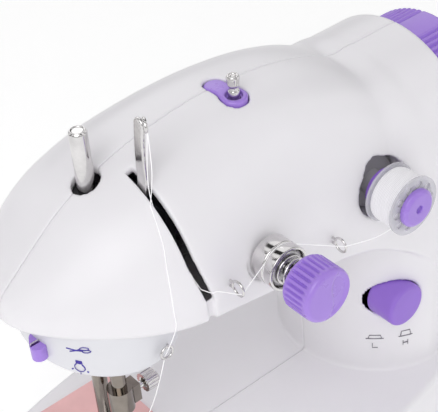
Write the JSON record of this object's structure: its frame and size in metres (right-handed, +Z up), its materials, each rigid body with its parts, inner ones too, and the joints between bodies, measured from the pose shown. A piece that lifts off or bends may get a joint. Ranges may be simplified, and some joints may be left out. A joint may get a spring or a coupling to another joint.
{
  "type": "portable sewing machine",
  "caption": "Small portable sewing machine with a beak-shaped arm on a column and flat base, purple handwheel and tension knob, front bobbin, needle head and top spool pin.",
  "frame": {"origin": "on the table, in the middle of the machine's footprint box", "axes": "+X along the machine towards the handwheel, +Y to the back away from the user, +Z up"},
  "size_m": [0.19, 0.1164, 0.2042],
  "materials": {
    "white_shell": "satin white moulding",
    "pale_shell": "satin pale grey moulding",
    "grey_plastic": "matte grey moulding",
    "white_inner": "natural acetal",
    "dark_plastic": "matte black",
    "purple_plastic": "glossy purple moulding",
    "bobbin_plastic": "clear grey moulding",
    "pink_clear": "translucent pink moulding",
    "lamp_clear": "clear lens",
    "grey_rod": "satin grey rod",
    "white_thread": "wound thread",
    "foot_rubber": "matte rubber",
    "belt_rubber": "matte rubber",
    "polished_steel": "bright plated",
    "plate_steel": "brushed",
    "shaft_steel": "turned",
    "screw_steel": "zinc plated",
    "frame_steel": "zinc plated sheet",
    "bush_brass": "sintered bronze"
  },
  "bodies": {
    "machine_body": {"front_shell": "white_shell", "rear_shell": "white_shell", "bottom_plate": "grey_plastic", "rubber_feet": "foot_rubber", "case_screws": "screw_steel", "head_skirt": "pale_shell", "cutter_holder": "purple_plastic", "cutter_blade": "polished_steel", "wire_guides": "polished_steel", "ring_guide": "polished_steel", "winder_seat": "purple_plastic", "spool_pin_socket": "purple_plastic", "tension_stud": "polished_steel", "tension_discs": "polished_steel", "tension_washer": "purple_plastic", "tension_spring": "polished_steel", "push_switches": "dark_plastic", "timing_belt": "belt_rubber", "drive_belt": "belt_rubber", "motor_case": "shaft_steel", "bobbin_case": "dark_plastic", "needle_plate": "plate_steel", "lamp": "lamp_clear", "head_frame": "frame_steel", "shaft_bushes": "bush_brass"},
    "main_shaft_body": {"main_shaft": "shaft_steel", "handwheel": "purple_plastic", "main_pulley": "white_inner", "crank_disc": "shaft_steel", "timing_pulley": "white_inner"},
    "link_body": {"connecting_link": "shaft_steel"},
    "needle_bar_body": {"needle_bar": "polished_steel", "needle_clamp": "polished_steel", "needle": "polished_steel"},
    "clamp_screw_body": {"clamp_screw": "polished_steel"},
    "take_up_body": {"take_up_lever": "polished_steel"},
    "lifter_body": {"presser_lifter": "grey_plastic"},
    "presser_body": {"presser_bar": "polished_steel", "presser_spring": "shaft_steel"},
    "foot_body": {"presser_foot": "polished_steel"},
    "motor_body": {"motor_rotor": "shaft_steel"},
    "lower_shaft_body": {"lower_shaft": "shaft_steel", "lower_timing_pulley": "white_inner", "lower_gear": "white_inner"},
    "hook_body": {"hook": "shaft_steel", "hook_gear": "white_inner"},
    "lower_bobbin_body": {"lower_bobbin": "bobbin_plastic"},
    "feed_bar_body": {"feed_bar": "shaft_steel"},
    "feed_dog_body": {"feed_dog": "shaft_steel"},
    "tension_knob_body": {"tension_knob": "purple_plastic"},
    "spool_body": {"spool_spindle": "dark_plastic", "top_bobbin": "bobbin_plastic", "bobbin_thread": "white_thread", "bobbin_cap": "purple_plastic"},
    "winder_body": {"winder_spindle": "polished_steel"},
    "spool_pin_body": {"spool_pin": "grey_rod"},
    "speed_button_body": {"speed_button": "purple_plastic"},
    "power_button_body": {"power_button": "purple_plastic"},
    "slide_plate_body": {"slide_plate": "pink_clear"},
    "battery_door_body": {"battery_door": "grey_plastic"}
  },
  "joints": [
    {"name": "shaft_spin", "type": "hinge", "parent": "machine_body", "child": "main_shaft_body", "pos_m": [0.023, 0.0042, 0.14], "axis": [1, 0, 0], "continuous": true},
    {"name": "link_spin", "type": "hinge", "parent": "main_shaft_body", "child": "link_body", "pos_m": [-0.0485, 0.0042, 0.1485], "axis": [1, 0, 0], "continuous": true},
    {"name": "needle_slide", "type": "slide", "parent": "machine_body", "child": "needle_bar_body", "axis": [0, 0, 1], "range_m": [-0.017, 0]},
    {"name": "clamp_screw_turn", "type": "hinge", "parent": "needle_bar_body", "child": "clamp_screw_body", "pos_m": [-0.05, -0.0018, 0.096], "axis": [1, 0, 0], "range_deg": [-360, 0]},
    {"name": "take_up_swing", "type": "hinge", "parent": "machine_body", "child": "take_up_body", "pos_m": [-0.042, 0.0042, 0.156], "axis": [1, 0, 0], "range_deg": [0, 55]},
    {"name": "lifter_turn", "type": "hinge", "parent": "machine_body", "child": "lifter_body", "pos_m": [-0.061, 0.0292, 0.133], "axis": [0, -1, 0], "range_deg": [0, 90]},
    {"name": "presser_slide", "type": "slide", "parent": "machine_body", "child": "presser_body", "axis": [0, 0, 1], "range_m": [0, 0.006], "deforming": ["presser_spring"]},
    {"name": "foot_tilt", "type": "hinge", "parent": "presser_body", "child": "foot_body", "pos_m": [-0.061, 0.0012, 0.062], "axis": [-1, 0, 0], "range_deg": [0, 12]},
    {"name": "motor_spin", "type": "hinge", "parent": "machine_body", "child": "motor_body", "pos_m": [0.053, -0.0198, 0.03], "axis": [1, 0, 0], "continuous": true},
    {"name": "lower_shaft_spin", "type": "hinge", "parent": "machine_body", "child": "lower_shaft_body", "pos_m": [0.003, 0.0172, 0.024], "axis": [1, 0, 0], "continuous": true},
    {"name": "hook_spin", "type": "hinge", "parent": "machine_body", "child": "hook_body", "pos_m": [-0.0585, 0.0172, 0.02], "axis": [0, 0, 1], "continuous": true},
    {"name": "lower_bobbin_spin", "type": "hinge", "parent": "machine_body", "child": "lower_bobbin_body", "pos_m": [-0.0585, 0.0172, 0.044], "axis": [0, 0, 1], "continuous": true},
    {"name": "feed_slide", "type": "slide", "parent": "machine_body", "child": "feed_bar_body", "axis": [0, 1, 0], "range_m": [-0.0013, 0.0013]},
    {"name": "feed_lift", "type": "slide", "parent": "feed_bar_body", "child": "feed_dog_body", "axis": [0, 0, 1], "range_m": [-0.0011, 0]},
    {"name": "tension_turn", "type": "hinge", "parent": "machine_body", "child": "tension_knob_body", "pos_m": [-0.0187, -0.0528, 0.15], "axis": [0, 1, 0], "range_deg": [-360, 360]},
    {"name": "spool_spin", "type": "hinge", "parent": "machine_body", "child": "spool_body", "pos_m": [0.0325, -0.0258, 0.1453], "axis": [0, 1, 0], "continuous": true},
    {"name": "winder_spin", "type": "hinge", "parent": "machine_body", "child": "winder_body", "pos_m": [-0.0044, -0.0035, 0.185], "axis": [0, 0, 1], "continuous": true},
    {"name": "spool_pin_slide", "type": "slide", "parent": "machine_body", "child": "spool_pin_body", "axis": [0, 0, 1], "range_m": [-0.018, 0]},
    {"name": "speed_press", "type": "slide", "parent": "machine_body", "child": "speed_button_body", "axis": [0, 1, 0], "range_m": [0, 0.003]},
    {"name": "power_press", "type": "slide", "parent": "machine_body", "child": "power_button_body", "axis": [-1, 0, 0], "range_m": [0, 0.003]},
    {"name": "slide_plate_slide", "type": "slide", "parent": "machine_body", "child": "slide_plate_body", "axis": [0, 1, 0], "range_m": [0, 0.025]},
    {"name": "battery_door_swing", "type": "hinge", "parent": "machine_body", "child": "battery_door_body", "pos_m": [0.00645, -0.0198, 0.00525], "axis": [0, -1, 0], "range_deg": [0, 90]}
  ],
  "couplings": [
    {"joint": "link_spin", "follows": "shaft_spin", "ratio": -1},
    {"joint": "motor_spin", "follows": "shaft_spin", "ratio": 4.8889},
    {"joint": "lower_shaft_spin", "follows": "shaft_spin", "ratio": 1},
    {"joint": "hook_spin", "follows": "shaft_spin", "ratio": -1},
    {"joint": "lifter_turn", "follows": "presser_slide", "rad_per_m": 261.8}
  ]
}
